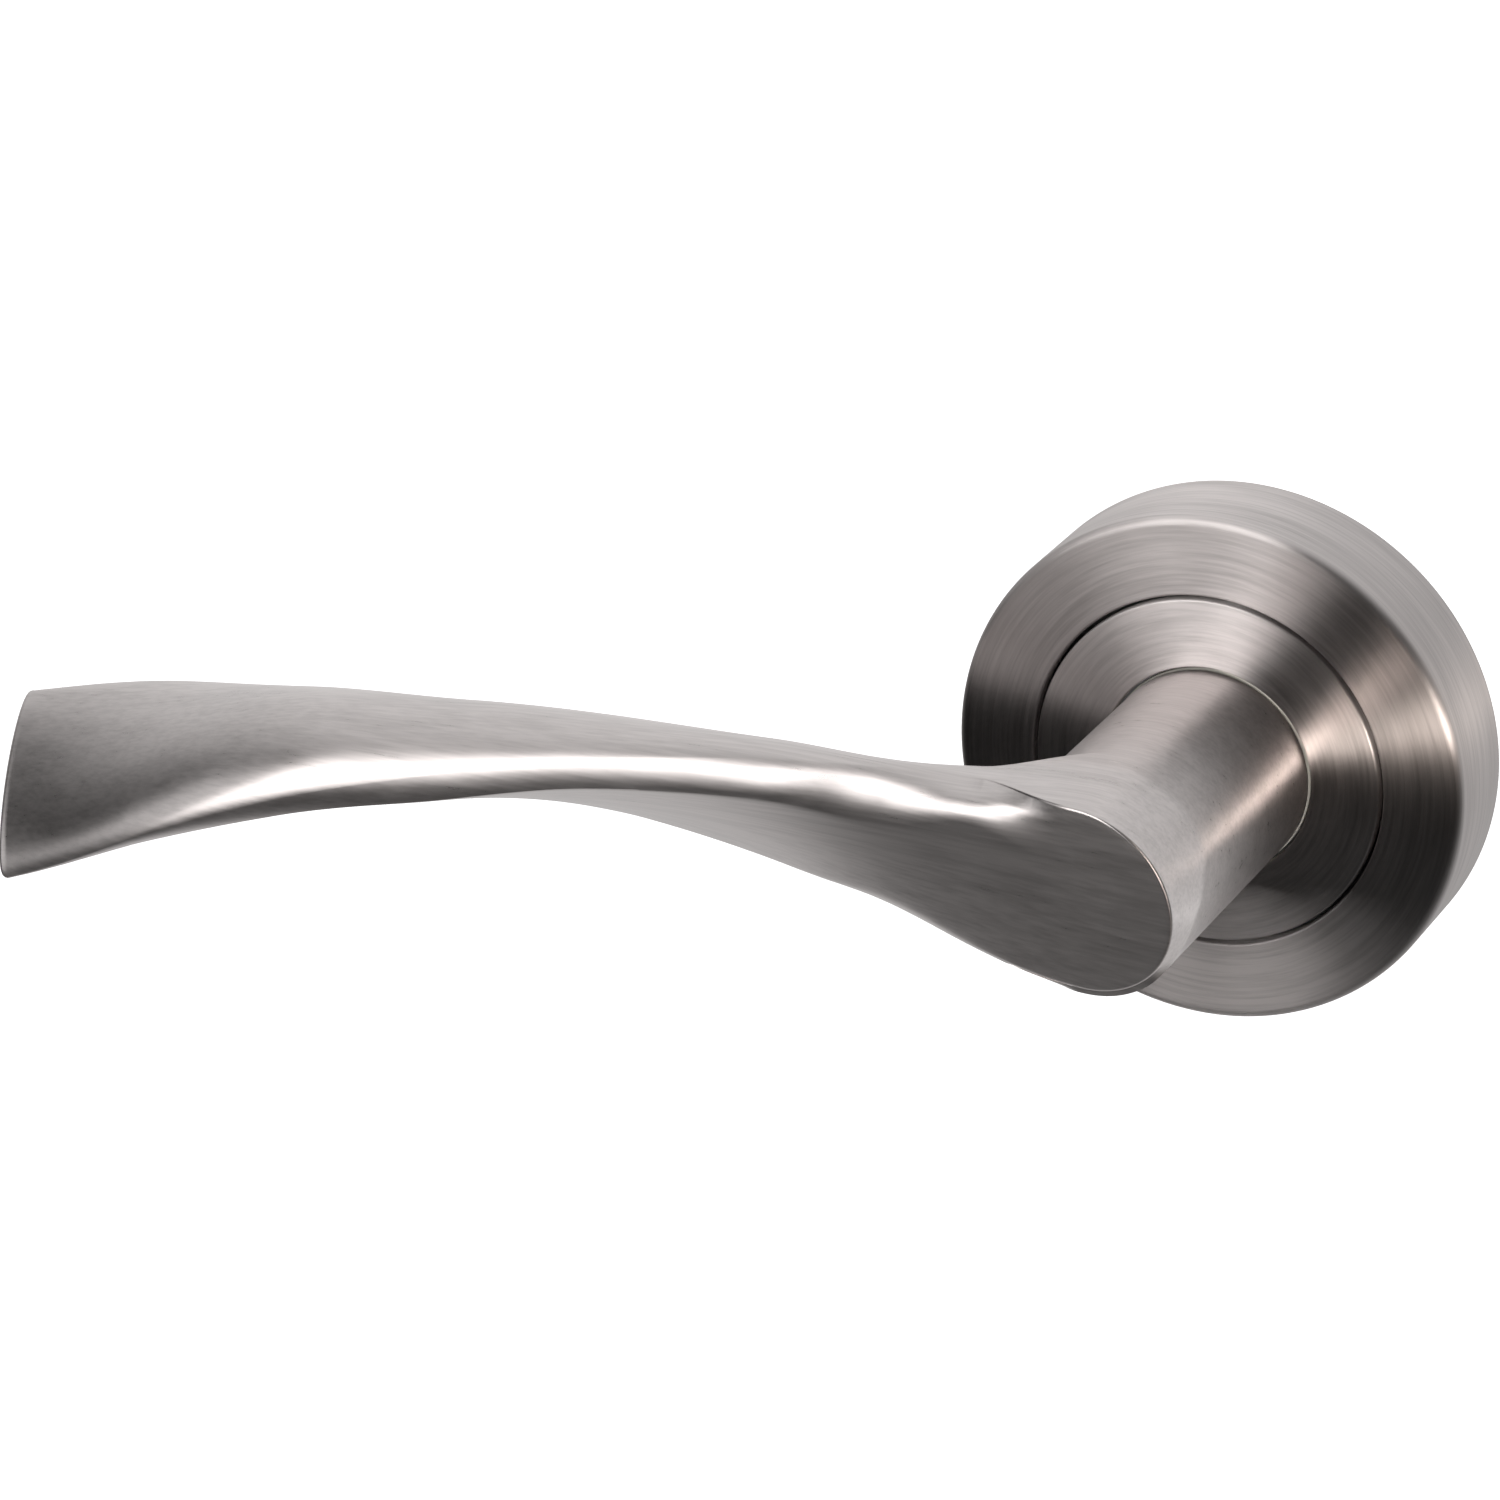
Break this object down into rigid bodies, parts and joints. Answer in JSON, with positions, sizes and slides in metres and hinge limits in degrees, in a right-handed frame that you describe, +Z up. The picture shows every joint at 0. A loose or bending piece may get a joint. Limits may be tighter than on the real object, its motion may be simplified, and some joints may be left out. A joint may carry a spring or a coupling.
{
  "type": "door lever handle",
  "caption": "Sprung door lever handle with a twisted arm on a round rose, with its square spindle, return spring and pull-off rose cover.",
  "frame": {"origin": "the spindle axis where it meets the door face, at the back of the rose", "axes": "+Y into the door along the spindle, -X along the lever arm at rest, +Z up"},
  "size_m": [0.1437, 0.0791, 0.052],
  "materials": {
    "satin_nickel": "satin brushed nickel",
    "zinc_plated": "bright zinc plated steel",
    "dark_steel": "black oxide steel",
    "spring_steel": "oiled spring steel",
    "zinc_casting": "as-cast zinc alloy",
    "nylon": "natural nylon",
    "black_rubber": "matt rubber"
  },
  "bodies": {
    "rose": {"mounting_plate": "zinc_casting", "bolt_lugs": "zinc_plated", "door_gasket": "black_rubber", "stop_pins": "zinc_plated", "spring_housing": "zinc_casting", "housing_screws": "zinc_plated", "rear_bush": "nylon", "front_bush": "nylon", "face_disc": "satin_nickel", "return_spring": "spring_steel", "cover_o_ring": "black_rubber"},
    "handle": {"lever": "satin_nickel", "grub_screw": "dark_steel", "spindle": "zinc_plated", "drive_cam": "zinc_plated", "circlip": "dark_steel", "flat_washer": "zinc_plated", "spring_washer": "spring_steel"},
    "cover": {"rose_cover": "satin_nickel"}
  },
  "joints": [
    {"name": "lever_turn", "type": "hinge", "parent": "rose", "child": "handle", "pos_m": [0, 0, 0], "axis": [0, -1, 0], "range_deg": [0, 45], "stiffness_Nm_per_rad": 0.14, "springref_deg": -68.75, "deforming": ["return_spring"]},
    {"name": "cover_slide", "type": "slide", "parent": "rose", "child": "cover", "axis": [0, -1, 0], "range_m": [0, 0.018]}
  ]
}
